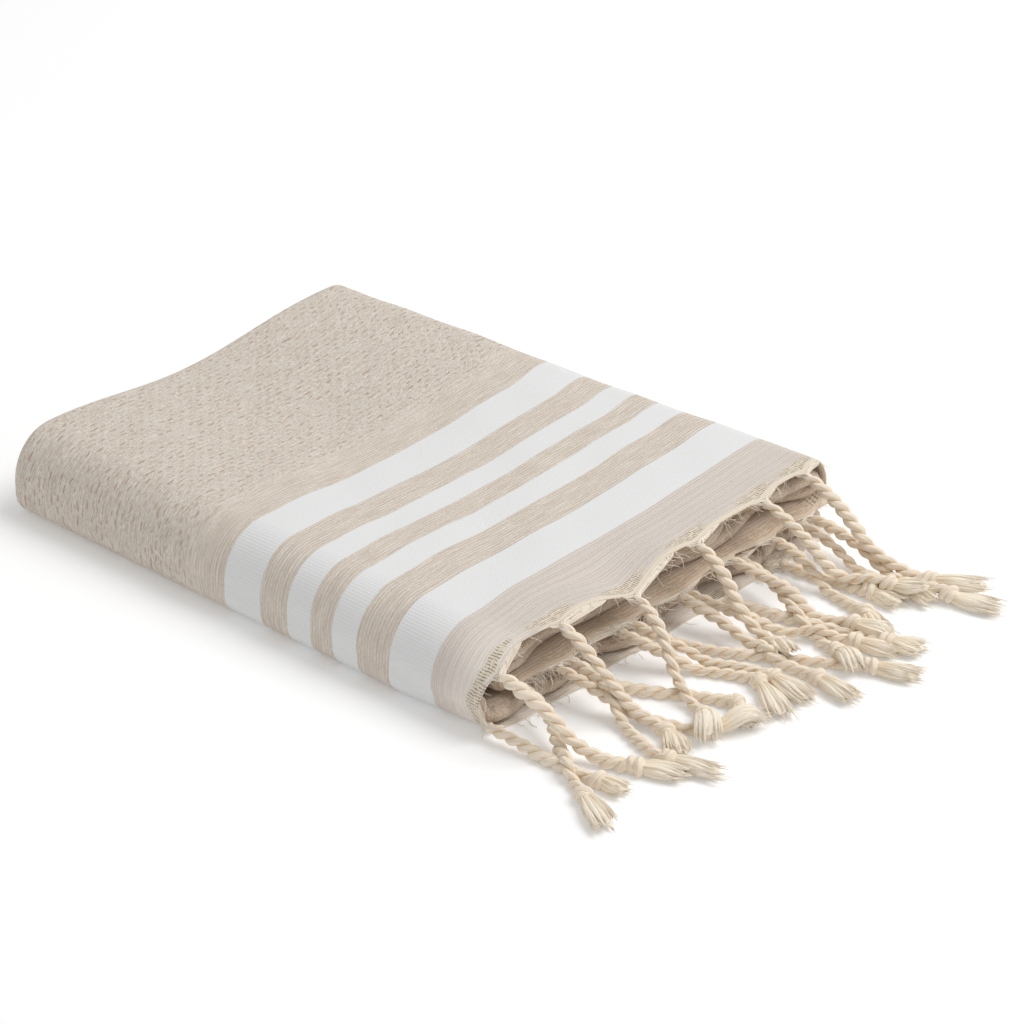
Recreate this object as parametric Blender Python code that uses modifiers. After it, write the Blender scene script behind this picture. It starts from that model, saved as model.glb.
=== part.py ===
"""A hammam towel folded for the shelf, with the knotted fringe of one end showing.

The flat sheet is rolled up in six layers along its length, so that its fringed end stays
outermost, and the strip this gives is then folded in four across its width. One grid carries
the whole sheet: its columns follow the section of the rolled strip, and its rows follow the
section of the four strips. The fringe is one comb along the folded edge.

Metres, +Z up. +X points to the fringe and -Y to the big rounded fold. The origin lies in the
middle of the flat underside.
"""
import math
from collections import namedtuple

import bmesh
import bpy
from mathutils import Vector

# ---------------------------------------------------------------- driving sizes

SHEET_THICKNESS = 0.0012
LAYER_PITCH = 0.0019                        # thickness of a layer and of the air beside it
LAYERS = 6                                  # layers in a strip, rolled along the length
STRIPS = 4                                  # strips in the stack, folded across the width
CLEARANCE = 0.0003                          # between the cloth and the fringe

FRINGE_EDGE_X = 0.165                       # the fringed edge of the outermost layer
NEAR_LOOP_X = 0.1564                        # centre of the first closed loop behind that edge
FAR_LOOP_X = -0.1610                        # centre of the outermost loop at the far end
NEAR_STAGGER = 0.0070                       # each further loop ends this much deeper inside
FAR_STAGGER = 0.0020
STOPS_X = (0.095, 0.0, -0.085)              # where every layer has a row of corners

SIDE_FOLD_Y = 0.1200                        # centre of the fold on the +Y side
INNER_FOLD_Y = -0.0970                      # centre of the fold hidden inside the rounded side
ROUND_START_Y = -0.0965                     # where the top begins to round over the -Y side
SELVEDGE_Y = 0.1305
STOPS_Y = (0.080, 0.010, -0.060)
ROUND_RADIUS = 0.0220                       # of the strip's middle, over the top edge
WALL_LEAN = math.radians(2)                 # the rounded side stands out a little at its foot

FRONT_LINE_Y = -0.1235                      # the straight foot of the rounded side
SIDE_GROWTH = 1.007                         # the width over that of the square stack
SIDE_FLARE = 0.205                          # growth of the width for each metre towards +X
FAR_SLANT = 0.015                           # the far end isn't quite square to the sides
TOP_SAG = 0.0078                            # the top dips between its edges
SAG_CENTRE_Y = 0.010
SAG_REACH_Y = 0.105                         # from its deepest line to where it ends
SAG_FADE_X = -0.060                         # it gets shallower from here to the fringed edge
SAG_FADE = 0.95
SAG_START_Z = 0.0015                        # the layer under this height lies flat
FAR_WAVE = 0.0015                           # strips slide past each other there by this much
FAR_WAVE_LENGTH = 0.90
FAR_WAVE_START = 0.480
SELVEDGE_WAVE = 0.0025                      # the woven long edges don't lie quite in line
SELVEDGE_WAVE_LENGTH = 0.21
INNER_SET_BACK = 0.004                      # the fringed edge sits back on the inner strips,
SET_BACK_END = 0.604                        # up to this distance from the inner selvedge,
SET_BACK_BLEND = 0.110                      # and comes forward over this one

HEADING_WIDTH = 0.0032                      # open-woven bar that the tassels hang from
CORD_RADIUS = 0.0028
KNOT_RADIUS = 0.0042
BRUSH_RADIUS = 0.0056
ROOT_RADIUS = 0.0020
TASSEL_OVERLAP = 0.0018                     # how far a tassel reaches into the heading
CREST_SHARE = 0.35                          # how far out a tassel goes before it drops
FOOT_SHARE = 0.45                           # and how far out it meets what it lies on
NECK_SHARE = 0.35                           # the brush is narrow up to here, past the knot,
NECK_RADIUS = 0.0036
BELLY_SHARE = 0.8                           # widest here,
TIP_RADIUS = 0.0045                         # and narrower at its end

STRIP_PITCH = LAYERS * LAYER_PITCH
FOLD_RADIUS = STRIP_PITCH / 2
BOTTOM_STRIP_Z = (SHEET_THICKNESS + (LAYERS - 1) * LAYER_PITCH) / 2
OUTER_OFFSET = (LAYERS - 1) * LAYER_PITCH / 2
HEIGHT = SHEET_THICKNESS + (LAYERS * STRIPS - 1) * LAYER_PITCH

# How finely the curves are cut.
LOOP_STEPS = (4, 4, 4, 3, 3)                # each loop of the roll, from the outermost inwards
FOLD_STEPS = 4                              # each fold of the strip
ROUTE_STEPS = 6                             # each tassel, from its root to its knot
WELD_DISTANCE = 0.00001

# A row for each tassel, in order along the fringed edge. along: from the inner selvedge, on
# the strips' middle line. knot and tip: where the knot and the brush's end lie, seen from
# above. rest: how high the knot lies, on the tassels under it.
Tassel = namedtuple("Tassel", "along knot_x knot_y tip_x tip_y rest")
TASSELS = (
    Tassel(0.0235, 0.226, 0.116, 0.246, 0.121, 0.000),
    Tassel(0.0695, 0.240, 0.046, 0.257, 0.038, 0.004),
    Tassel(0.1155, 0.245, 0.022, 0.273, 0.019, 0.000),
    Tassel(0.1595, 0.226, 0.004, 0.256, -0.018, 0.000),
    Tassel(0.2025, 0.240, -0.052, 0.250, -0.024, 0.000),
    Tassel(0.2365, 0.228, -0.129, 0.255, -0.143, 0.000),
    Tassel(0.2785, 0.238, -0.084, 0.266, -0.072, 0.000),
    Tassel(0.3215, 0.228, 0.007, 0.257, 0.005, 0.004),
    Tassel(0.3615, 0.240, 0.060, 0.262, 0.066, 0.004),
    Tassel(0.3955, 0.231, 0.067, 0.251, 0.076, 0.005),
    Tassel(0.4275, 0.226, 0.086, 0.245, 0.077, 0.003),
    Tassel(0.4580, 0.247, 0.122, 0.273, 0.134, 0.004),
    Tassel(0.4915, 0.231, 0.129, 0.255, 0.148, 0.005),
    Tassel(0.5245, 0.223, 0.107, 0.240, 0.119, 0.006),
    Tassel(0.5770, 0.213, 0.032, 0.227, 0.022, 0.008),
    Tassel(0.6280, 0.226, -0.039, 0.244, -0.056, 0.004),
    Tassel(0.6750, 0.222, -0.060, 0.241, -0.074, 0.004),
    Tassel(0.7145, 0.232, -0.098, 0.253, -0.082, 0.006),
    Tassel(0.7385, 0.226, -0.117, 0.242, -0.113, 0.000),
    Tassel(0.8070, 0.232, -0.020, 0.250, -0.036, 0.000),
    Tassel(0.8570, 0.260, 0.046, 0.283, 0.057, 0.000),
    Tassel(0.9040, 0.252, 0.070, 0.270, 0.076, 0.000),
    Tassel(0.9470, 0.215, 0.103, 0.235, 0.105, 0.000),
)

# ---------------------------------------------------------------- sections


Station = namedtuple("Station", "along point heading")


class Section:
    """A line of stations in a plane, drawn by straight runs and arcs."""

    def __init__(self, start, heading):
        self.point = Vector(start)
        self.heading = heading
        self.length = 0.0
        self.stations = [Station(self.length, self.point.copy(), heading)]

    def _add(self, step_length):
        self.length += step_length
        self.stations.append(Station(self.length, self.point.copy(), self.heading))

    def run_to(self, stops):
        """Straight on, with a station at each of these values of the first coordinate."""
        for stop in stops:
            distance = (stop - self.point.x) / math.cos(self.heading)
            self.point += distance * Vector((math.cos(self.heading), math.sin(self.heading)))
            self._add(distance)

    def turn(self, radius, angle, steps):
        """Round an arc: a positive angle turns left."""
        side = math.copysign(1.0, angle)
        centre = self.point + side * radius * self.normal(self.heading + math.pi)
        for _ in range(steps):
            self.heading += angle / steps
            self.point = centre + side * radius * self.normal(self.heading)
            self._add(radius * abs(angle) / steps)

    @staticmethod
    def normal(heading):
        """The right-hand side of the heading, which is the towel's outer face."""
        return Vector((math.sin(heading), -math.cos(heading)))


def strip_section():
    """The rolled strip from the fringed edge inwards, as (x, offset from its middle)."""
    section = Section((FRINGE_EDGE_X, OUTER_OFFSET), math.pi)
    for layer in range(LAYERS):
        depth = layer // 2
        if layer % 2 == 0:
            section.run_to(STOPS_X + (FAR_LOOP_X + depth * FAR_STAGGER,))
        else:
            section.run_to(tuple(reversed(STOPS_X)) + (NEAR_LOOP_X - depth * NEAR_STAGGER,))
        if layer < LAYERS - 1:
            radius = (LAYERS - 1 - layer) * LAYER_PITCH / 2
            section.turn(radius, math.pi, LOOP_STEPS[layer])
    return section.stations


def stack_section():
    """The four strips' middle line from the inner selvedge to the bottom one, as (y, z)."""
    section = Section((SELVEDGE_Y, BOTTOM_STRIP_Z + STRIP_PITCH), math.pi)
    section.run_to(STOPS_Y + (INNER_FOLD_Y,))
    section.turn(FOLD_RADIUS, -math.pi, FOLD_STEPS)
    section.run_to(tuple(reversed(STOPS_Y)) + (SIDE_FOLD_Y,))
    section.turn(FOLD_RADIUS, math.pi, FOLD_STEPS)
    section.run_to(STOPS_Y + (ROUND_START_Y,))
    upper_turn = math.pi / 2 - WALL_LEAN
    section.turn(ROUND_RADIUS, upper_turn, FOLD_STEPS)
    foot_top = BOTTOM_STRIP_Z + FOLD_RADIUS * (1 + math.sin(WALL_LEAN))
    wall_foot_y = section.point.x - (section.point.y - foot_top) * math.tan(WALL_LEAN)
    section.run_to((wall_foot_y,))
    section.turn(FOLD_RADIUS, math.pi - upper_turn, FOLD_STEPS)
    section.run_to(tuple(reversed(STOPS_Y)) + (SELVEDGE_Y,))
    return section.stations


def smooth_step(value):
    value = min(max(value, 0.0), 1.0)
    return value * value * (3 - 2 * value)


def top_sag(x, y):
    """How far the top has sunk here."""
    from_middle = min(abs(y - SAG_CENTRE_Y) / SAG_REACH_Y, 1.0)
    fading = 1 - SAG_FADE * smooth_step((x - SAG_FADE_X) / (FRINGE_EDGE_X - SAG_FADE_X))
    return TOP_SAG * math.cos(math.pi / 2 * from_middle) ** 2 * fading


def settle(point, set_back, far_shift):
    """Move a point of the square stack to where the real, uneven one has it."""
    x, y, z = point
    to_far = smooth_step(x / FAR_LOOP_X)
    moved_x = x - set_back * smooth_step(x / FRINGE_EDGE_X) - to_far * (FAR_SLANT * y + far_shift)
    moved_y = FRONT_LINE_Y + (y - FRONT_LINE_Y) * (SIDE_GROWTH + SIDE_FLARE * x)
    upper_share = max(0.0, (z - SAG_START_Z) / (HEIGHT - SAG_START_Z))
    moved_z = z - top_sag(x, y) * upper_share
    return Vector((moved_x, moved_y, moved_z))


def folded_point(x, offset, stack_station):
    """The place of the point at x in the strip, this far outside its middle."""
    along = stack_station.along
    place = stack_station.point + offset * Section.normal(stack_station.heading)
    set_back = INNER_SET_BACK * smooth_step((SET_BACK_END - along) / SET_BACK_BLEND)
    far_shift = FAR_WAVE * math.sin(math.tau * (along - FAR_WAVE_START) / FAR_WAVE_LENGTH)
    return settle((x, place.x, place.y), set_back, far_shift)


def selvedge_shift(x, offset):
    """How far a selvedge stands out of line: each layer has its own wave."""
    return SELVEDGE_WAVE * math.sin(math.tau * x / SELVEDGE_WAVE_LENGTH + offset / LAYER_PITCH)


# ---------------------------------------------------------------- building blocks


def make_material(name, color, roughness):
    material = bpy.data.materials.new(name)
    material.use_nodes = True
    shader = material.node_tree.nodes["Principled BSDF"]
    shader.inputs["Base Color"].default_value = (*color, 1.0)
    shader.inputs["Roughness"].default_value = roughness
    shader.inputs["Metallic"].default_value = 0.0
    return material


def make_object(name, mesh, collection):
    thing = bpy.data.objects.new(name, mesh)
    collection.objects.link(thing)
    return thing


def folded_grid(name, strip_stations, stack_stations, collection):
    """A flat grid folded through the two sections, then given its thickness."""
    columns = len(strip_stations) - 1
    rows = len(stack_stations) - 1
    grid = bmesh.new()
    bmesh.ops.create_grid(grid, x_segments=columns, y_segments=rows, size=0.5)
    for vert in grid.verts:
        column = round((vert.co.x + 0.5) * columns)
        row = round((vert.co.y + 0.5) * rows)
        x, offset = strip_stations[column].point
        vert.co = folded_point(x, offset, stack_stations[row])
        if row in (0, rows):
            vert.co.y += selvedge_shift(x, offset)
    mesh = bpy.data.meshes.new(name)
    grid.to_mesh(mesh)
    grid.free()
    thing = make_object(name, mesh, collection)
    solid = thing.modifiers.new("thickness", "SOLIDIFY")
    solid.thickness = SHEET_THICKNESS
    solid.offset = 0.0
    solid.use_even_offset = True
    return thing


def bezier(start, first, second, end, share):
    """The point at this share of a cubic curve."""
    rest = 1.0 - share
    near = rest ** 3 * start + 3 * rest ** 2 * share * first
    far = 3 * rest * share ** 2 * second + share ** 3 * end
    return near + far


def edge_station(stack_stations, along):
    """The station at this distance along the strips' middle line."""
    for before, after in zip(stack_stations, stack_stations[1:]):
        if before.along <= along <= after.along:
            share = (along - before.along) / (after.along - before.along)
            heading = before.heading + share * (after.heading - before.heading)
            return Station(along, before.point.lerp(after.point, share), heading)
    raise ValueError(f"{along} is past the end of the edge")


def tassel_route(tassel, stack_stations):
    """Points and thickness of a tassel from the heading to the end of its brush."""
    root_x = FRINGE_EDGE_X + CLEARANCE + HEADING_WIDTH - TASSEL_OVERLAP
    root = folded_point(root_x, OUTER_OFFSET, edge_station(stack_stations, tassel.along))
    root.z = max(root.z, CORD_RADIUS)
    knot = Vector((tassel.knot_x, tassel.knot_y, tassel.rest + KNOT_RADIUS))
    tip = Vector((tassel.tip_x, tassel.tip_y, tassel.rest / 2 + BRUSH_RADIUS))
    crest = Vector((root.x + CREST_SHARE * (knot.x - root.x), root.y, root.z))
    foot = root.lerp(knot, FOOT_SHARE)
    foot.z = tassel.rest + CORD_RADIUS
    route = [(root, ROOT_RADIUS)]
    for step in range(1, ROUTE_STEPS):
        route.append((bezier(root, crest, foot, knot, step / ROUTE_STEPS), CORD_RADIUS))
    route.append((knot, KNOT_RADIUS))
    route.append((knot.lerp(tip, NECK_SHARE), NECK_RADIUS))
    route.append((knot.lerp(tip, BELLY_SHARE), BRUSH_RADIUS))
    route.append((tip, TIP_RADIUS))
    return [(Vector((p.x, p.y, max(p.z, radius))), radius) for p, radius in route]


def make_tassel(name, route, collection):
    """A six-sided tube along the route, as thick at each point as the route says."""
    curve = bpy.data.curves.new(name, "CURVE")
    curve.dimensions = "3D"
    curve.bevel_depth = 1.0
    curve.bevel_resolution = 1
    curve.use_fill_caps = True
    spline = curve.splines.new("POLY")
    spline.points.add(len(route) - 1)
    for point, (place, radius) in zip(spline.points, route):
        point.co = (*place, 1.0)
        point.radius = radius
    tube = make_object(name + "_line", curve, collection)
    bpy.context.view_layer.update()
    evaluated = tube.evaluated_get(bpy.context.evaluated_depsgraph_get())
    mesh = bpy.data.meshes.new_from_object(evaluated)
    weld = bmesh.new()
    weld.from_mesh(mesh)
    bmesh.ops.remove_doubles(weld, verts=weld.verts, dist=WELD_DISTANCE)
    weld.to_mesh(mesh)
    weld.free()
    solid = make_object(name, mesh, collection)
    solid.matrix_world = tube.matrix_world
    bpy.data.objects.remove(tube)
    solid.hide_render = True
    solid.display_type = "WIRE"
    return solid


# ---------------------------------------------------------------- the two pieces


def make_cloth(collection):
    cloth = folded_grid("cloth", strip_section(), stack_section(), collection)
    cloth.data.materials.append(make_material("striped_cotton", (0.60, 0.54, 0.47), 0.9))
    return cloth


def make_fringe(collection, tassel_collection):
    """The heading bar along the folded edge, with every tassel joined to it."""
    heading_start = FRINGE_EDGE_X + CLEARANCE
    heading = Section((heading_start, OUTER_OFFSET), 0.0)
    heading.run_to((heading_start + HEADING_WIDTH,))
    stack_stations = stack_section()
    fringe = folded_grid("fringe", heading.stations, stack_stations, collection)
    for number, tassel in enumerate(TASSELS, 1):
        make_tassel(f"tassel_{number:02d}", tassel_route(tassel, stack_stations), tassel_collection)
    union = fringe.modifiers.new("tassels", "BOOLEAN")
    union.operation = "UNION"
    union.operand_type = "COLLECTION"
    union.collection = tassel_collection
    fringe.data.materials.append(make_material("cream_yarn", (0.74, 0.64, 0.50), 0.95))
    return fringe


def main():
    for thing in list(bpy.data.objects):
        bpy.data.objects.remove(thing)
    towel = bpy.data.collections.new("hammam_towel")
    tassels = bpy.data.collections.new("tassel_solids")
    bpy.context.scene.collection.children.link(towel)
    bpy.context.scene.collection.children.link(tassels)
    make_cloth(towel)
    make_fringe(towel, tassels)


main()
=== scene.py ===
"""The look of a folded hammam towel: striped flat-woven cotton, with the knotted fringe of one
end showing.

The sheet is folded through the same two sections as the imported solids, much more finely, and
the tassels follow the same routes. Metres, +Z up, +X to the fringe, -Y to the big rounded fold.
"""
import math
from collections import namedtuple

import bpy
import numpy as np
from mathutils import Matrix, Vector


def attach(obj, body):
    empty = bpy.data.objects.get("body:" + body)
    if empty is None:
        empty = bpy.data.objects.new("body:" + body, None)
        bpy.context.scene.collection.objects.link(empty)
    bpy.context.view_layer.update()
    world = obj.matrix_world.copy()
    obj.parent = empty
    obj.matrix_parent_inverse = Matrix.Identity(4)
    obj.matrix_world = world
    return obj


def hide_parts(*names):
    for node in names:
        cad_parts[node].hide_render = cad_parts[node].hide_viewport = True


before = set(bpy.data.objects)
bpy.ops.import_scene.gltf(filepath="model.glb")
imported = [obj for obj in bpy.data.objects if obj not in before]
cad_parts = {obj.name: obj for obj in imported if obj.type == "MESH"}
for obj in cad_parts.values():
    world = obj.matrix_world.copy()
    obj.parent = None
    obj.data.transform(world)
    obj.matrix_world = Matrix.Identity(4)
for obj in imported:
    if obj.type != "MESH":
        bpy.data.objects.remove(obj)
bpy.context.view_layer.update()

# ---------------- the fold's sizes, as in the CAD

LAYER_PITCH = 0.0019
LAYERS = 6  # layers in a strip, rolled along the length
STRIPS = 4  # strips in the stack, folded across the width
FRINGE_EDGE_X = 0.165
NEAR_LOOP_X = 0.1564
FAR_LOOP_X = -0.1610
NEAR_STAGGER = 0.0070
FAR_STAGGER = 0.0020
SIDE_FOLD_Y = 0.1200
INNER_FOLD_Y = -0.0970
ROUND_START_Y = -0.0965
SELVEDGE_Y = 0.1305
ROUND_RADIUS = 0.0220
WALL_LEAN = math.radians(2)
FRONT_LINE_Y = -0.1235
SIDE_GROWTH = 1.007
SIDE_FLARE = 0.205
FAR_SLANT = 0.015
TOP_SAG = 0.0078
SAG_CENTRE_Y = 0.010
SAG_REACH_Y = 0.105
SAG_FADE_X = -0.060
SAG_FADE = 0.95
SAG_START_Z = 0.0015
FAR_WAVE = 0.0015
FAR_WAVE_LENGTH = 0.90
FAR_WAVE_START = 0.480
SELVEDGE_WAVE = 0.0025
SELVEDGE_WAVE_LENGTH = 0.21
INNER_SET_BACK = 0.004
SET_BACK_END = 0.604
SET_BACK_BLEND = 0.110

CORD_RADIUS = 0.0028
KNOT_RADIUS = 0.0042
CREST_SHARE = 0.35
FOOT_SHARE = 0.45

SHEET_THICKNESS = 0.0009  # of the cloth itself, without the air between layers
CAD_THICKNESS = 0.0012
STRIP_PITCH = LAYERS * LAYER_PITCH
FOLD_RADIUS = STRIP_PITCH / 2
OUTER_OFFSET = (LAYERS - 1) * LAYER_PITCH / 2
BOTTOM_STRIP_Z = CAD_THICKNESS / 2 + OUTER_OFFSET
HEIGHT = CAD_THICKNESS + (LAYERS * STRIPS - 1) * LAYER_PITCH

Tassel = namedtuple("Tassel", "along knot_x knot_y tip_x tip_y rest")
TASSELS = (
    Tassel(0.0235, 0.226, 0.116, 0.246, 0.121, 0.000),
    Tassel(0.0695, 0.240, 0.046, 0.257, 0.038, 0.004),
    Tassel(0.1155, 0.245, 0.022, 0.273, 0.019, 0.000),
    Tassel(0.1595, 0.226, 0.004, 0.256, -0.018, 0.000),
    Tassel(0.2025, 0.240, -0.052, 0.250, -0.024, 0.000),
    Tassel(0.2365, 0.228, -0.129, 0.255, -0.143, 0.000),
    Tassel(0.2785, 0.238, -0.084, 0.266, -0.072, 0.000),
    Tassel(0.3215, 0.228, 0.007, 0.257, 0.005, 0.004),
    Tassel(0.3615, 0.240, 0.060, 0.262, 0.066, 0.004),
    Tassel(0.3955, 0.231, 0.067, 0.251, 0.076, 0.005),
    Tassel(0.4275, 0.226, 0.086, 0.245, 0.077, 0.003),
    Tassel(0.4580, 0.247, 0.122, 0.273, 0.134, 0.004),
    Tassel(0.4915, 0.231, 0.129, 0.255, 0.148, 0.005),
    Tassel(0.5245, 0.223, 0.107, 0.240, 0.119, 0.006),
    Tassel(0.5770, 0.213, 0.032, 0.227, 0.022, 0.008),
    Tassel(0.6280, 0.226, -0.039, 0.244, -0.056, 0.004),
    Tassel(0.6750, 0.222, -0.060, 0.241, -0.074, 0.004),
    Tassel(0.7145, 0.232, -0.098, 0.253, -0.082, 0.006),
    Tassel(0.7385, 0.226, -0.117, 0.242, -0.113, 0.000),
    Tassel(0.8070, 0.232, -0.020, 0.250, -0.036, 0.000),
    Tassel(0.8570, 0.260, 0.046, 0.283, 0.057, 0.000),
    Tassel(0.9040, 0.252, 0.070, 0.270, 0.076, 0.000),
    Tassel(0.9470, 0.215, 0.103, 0.235, 0.105, 0.000),
)
ROOTS = [tassel.along for tassel in TASSELS]

# ---------------- the mouth at the fringed end

MOUTH_START_X = 0.100  # from here on the outer layer stands off the others
MOUTH_SQUEEZE = 0.11  # the other layers sink by this share of their height
MOUTH_DRAW = 0.0040  # and draw in from the rounded side
MOUTH_DRAW_Y = -0.070
LOOP_WAVE = 0.0045  # how unevenly the folds end inside the mouth
SCALLOP_DEPTH = 0.0016  # the edge stands back between the tassels,
SCALLOP_LIFT = 0.0006  # arches up there,
ROOT_DROP = 0.0008  # and is pulled down and out at each tassel
ROOT_PULL = 0.0006
SCALLOP_REACH = 0.024  # how far into the cloth that shows
HEAVY_ROOT = 0.628  # one tassel pulls the edge out and down more,
HEAVY_SPREAD = 0.020
HEAVY_PULL = 0.0045
HEAVY_DROP = 0.0050
HEAVY_REACH = 0.045
CORNER_PULL = 0.0055  # and the foot of the rounded side draws back
CORNER_SPREAD = 0.013
LIP_DROOP = 0.0036  # the inner strips' fringed edges hang down
LIP_REACH = 0.014
LIP_FLOOR = 0.004  # but not the ones as low as this
LIP_RISE = 0.012
ROOT_LENGTH = 0.0012  # from the cloth's edge to where a cord begins
ROOT_SINK = 0.0014  # and how far below the sheet it does

OUTER_FADE = 0.040  # how gradually the outer layer comes off the others,
TOP_LEAD = 0.012  # and the top off the strip under it
TOP_FADE = 0.014
FOOT_FADE = 0.006
INNER_FADE = 0.010
DRAW_FADE = 0.050
HELD_WAVE = 0.0011  # uneven heights of the other layers at the mouth
EDGE_FADE = 0.012  # how far the woven edges' waves reach in

RIPPLE = 0.00035  # soft waves of the outer layer
SWELL = 0.0008  # and of the whole stack

# ---------------- the woven design

# Distances from the fringed edge along the warp.
Stripe = namedtuple("Stripe", "start end")
WHITE_STRIPES = (
    Stripe(0.0393, 0.0668),
    Stripe(0.0875, 0.1038),
    Stripe(0.1186, 0.1342),
    Stripe(0.1528, 0.1776),
)
RIBS_FADE = 0.1906  # the last ribs fade between these two places,
RIBS_END = 0.2036
FIELD_START = 0.188  # and the small darker floats come in between these
FIELD_FULL = 0.210
EDGE_JAG = 0.0007  # how uneven the stripes' edges are
BACK_BEND = 0.0055  # the stripes bend from the edge towards the back,
BACK_BEND_START = 0.86  # past this share of the top's width,
FRONT_BEND = 0.0034  # and to the edge along the rounded side
FRONT_BEND_END = 0.16
BEND_GROWTH = 0.150
STRIPE_WAVE = 0.0009
FLAT_SIZE = (0.99, 1.92)

# ---------------- small tools

RIPPLE_WAVES = 7


def smooth_step(value):
    value = np.clip(value, 0.0, 1.0)
    return value * value * (3 - 2 * value)


def hump(value, middle, spread):
    """One in the middle, and soon nothing past the spread on both sides of it."""
    return np.exp(-((value - middle) / spread) ** 2)


def ripple(first, second, wavelength, seed):
    """Soft uneven waves between about -1 and 1, the same each run."""
    source = np.random.default_rng(seed)
    total = 0.0
    for _ in range(RIPPLE_WAVES):
        angle = source.uniform(0, math.tau)
        length = wavelength * source.uniform(0.7, 1.5)
        phase = source.uniform(0, math.tau)
        along = first * math.cos(angle) + second * math.sin(angle)
        total = total + np.sin(math.tau * along / length + phase)
    return total / math.sqrt(RIPPLE_WAVES)


def srgb(red, green, blue):
    """The linear colour of these 8-bit display values."""
    def linear(value):
        value /= 255
        return value / 12.92 if value <= 0.04045 else ((value + 0.055) / 1.055) ** 2.4
    return (linear(red), linear(green), linear(blue), 1.0)


class Line:
    """A line in a plane, drawn by straight runs and arcs and kept as close samples."""

    SAMPLE = 0.002
    ARC_SAMPLES = 24

    def __init__(self, start, heading):
        self.samples = [(0.0, start[0], start[1], heading)]
        self.corners = [0.0]

    def run_to(self, first):
        """Straight on until the first coordinate has this value."""
        along, a, b, heading = self.samples[-1]
        distance = (first - a) / math.cos(heading)
        steps = max(1, math.ceil(distance / self.SAMPLE))
        for step in range(1, steps + 1):
            gone = distance * step / steps
            place = (a + gone * math.cos(heading), b + gone * math.sin(heading))
            self.samples.append((along + gone, *place, heading))
        self.corners.append(self.samples[-1][0])

    def turn(self, radius, angle):
        """Round an arc: a positive angle turns left."""
        along, a, b, heading = self.samples[-1]
        side = math.copysign(1.0, angle)
        reach = side * radius
        centre = (a - reach * math.sin(heading), b + reach * math.cos(heading))
        for step in range(1, self.ARC_SAMPLES + 1):
            share = step / self.ARC_SAMPLES
            turned = heading + angle * share
            place = (centre[0] + reach * math.sin(turned), centre[1] - reach * math.cos(turned))
            self.samples.append((along + radius * abs(angle) * share, *place, turned))
        self.corners.append(self.samples[-1][0])

    def at(self, along):
        """First and second coordinate and heading at these distances."""
        columns = np.array(self.samples).T
        return [np.interp(along, columns[0], column) for column in columns[1:]]

    @property
    def length(self):
        return self.samples[-1][0]


def rolled_strip():
    """The strip's section from the fringed edge inwards, as (x, offset from its middle)."""
    line = Line((FRINGE_EDGE_X, OUTER_OFFSET), math.pi)
    for layer in range(LAYERS):
        depth = layer // 2
        if layer % 2 == 0:
            line.run_to(FAR_LOOP_X + depth * FAR_STAGGER)
        else:
            line.run_to(NEAR_LOOP_X - depth * NEAR_STAGGER)
        if layer < LAYERS - 1:
            line.turn((LAYERS - 1 - layer) * LAYER_PITCH / 2, math.pi)
    return line


def folded_stack():
    """The four strips' middle line from the inner selvedge to the bottom one, as (y, z)."""
    line = Line((SELVEDGE_Y, BOTTOM_STRIP_Z + STRIP_PITCH), math.pi)
    line.run_to(INNER_FOLD_Y)
    line.turn(FOLD_RADIUS, -math.pi)
    line.run_to(SIDE_FOLD_Y)
    line.turn(FOLD_RADIUS, math.pi)
    line.run_to(ROUND_START_Y)
    upper_turn = math.pi / 2 - WALL_LEAN
    line.turn(ROUND_RADIUS, upper_turn)
    _, y, z, _ = line.samples[-1]
    foot_top = BOTTOM_STRIP_Z + FOLD_RADIUS * (1 + math.sin(WALL_LEAN))
    line.run_to(y - (z - foot_top) * math.tan(WALL_LEAN))
    line.turn(FOLD_RADIUS, math.pi - upper_turn)
    line.run_to(SELVEDGE_Y)
    return line


STRIP = rolled_strip()
STACK = folded_stack()
OUTER_END = STRIP.corners[1]  # where the outermost layer turns into the next one
TOP_START = STACK.corners[4]  # the top strip's two ends, along the stack's section
TOP_END = STACK.corners[5]
FOOT = STACK.corners[7]

# ---------------- where the cloth lies


def arch(along):
    """Nothing at each tassel and one midway between two, along the fringed edge."""
    roots = np.array([-0.02, *ROOTS, STACK.length + 0.02])
    gap = np.clip(np.searchsorted(roots, along) - 1, 0, len(roots) - 2)
    share = (along - roots[gap]) / (roots[gap + 1] - roots[gap])
    return np.sin(math.pi * np.clip(share, 0, 1)) ** 0.5


def settle(x, y, z, along):
    """Move points of the square stack to where the real, uneven one has them, as in the CAD."""
    set_back = INNER_SET_BACK * smooth_step((SET_BACK_END - along) / SET_BACK_BLEND)
    far_shift = FAR_WAVE * np.sin(math.tau * (along - FAR_WAVE_START) / FAR_WAVE_LENGTH)
    moved_x = x - set_back * smooth_step(x / FRINGE_EDGE_X)
    moved_x = moved_x - smooth_step(x / FAR_LOOP_X) * (FAR_SLANT * y + far_shift)
    moved_y = FRONT_LINE_Y + (y - FRONT_LINE_Y) * (SIDE_GROWTH + SIDE_FLARE * x)
    from_middle = np.minimum(np.abs(y - SAG_CENTRE_Y) / SAG_REACH_Y, 1.0)
    fading = 1 - SAG_FADE * smooth_step((x - SAG_FADE_X) / (FRINGE_EDGE_X - SAG_FADE_X))
    sag = TOP_SAG * np.cos(math.pi / 2 * from_middle) ** 2 * fading
    return moved_x, moved_y, z - sag * np.maximum(0, (z - SAG_START_Z) / (HEIGHT - SAG_START_Z))


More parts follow.
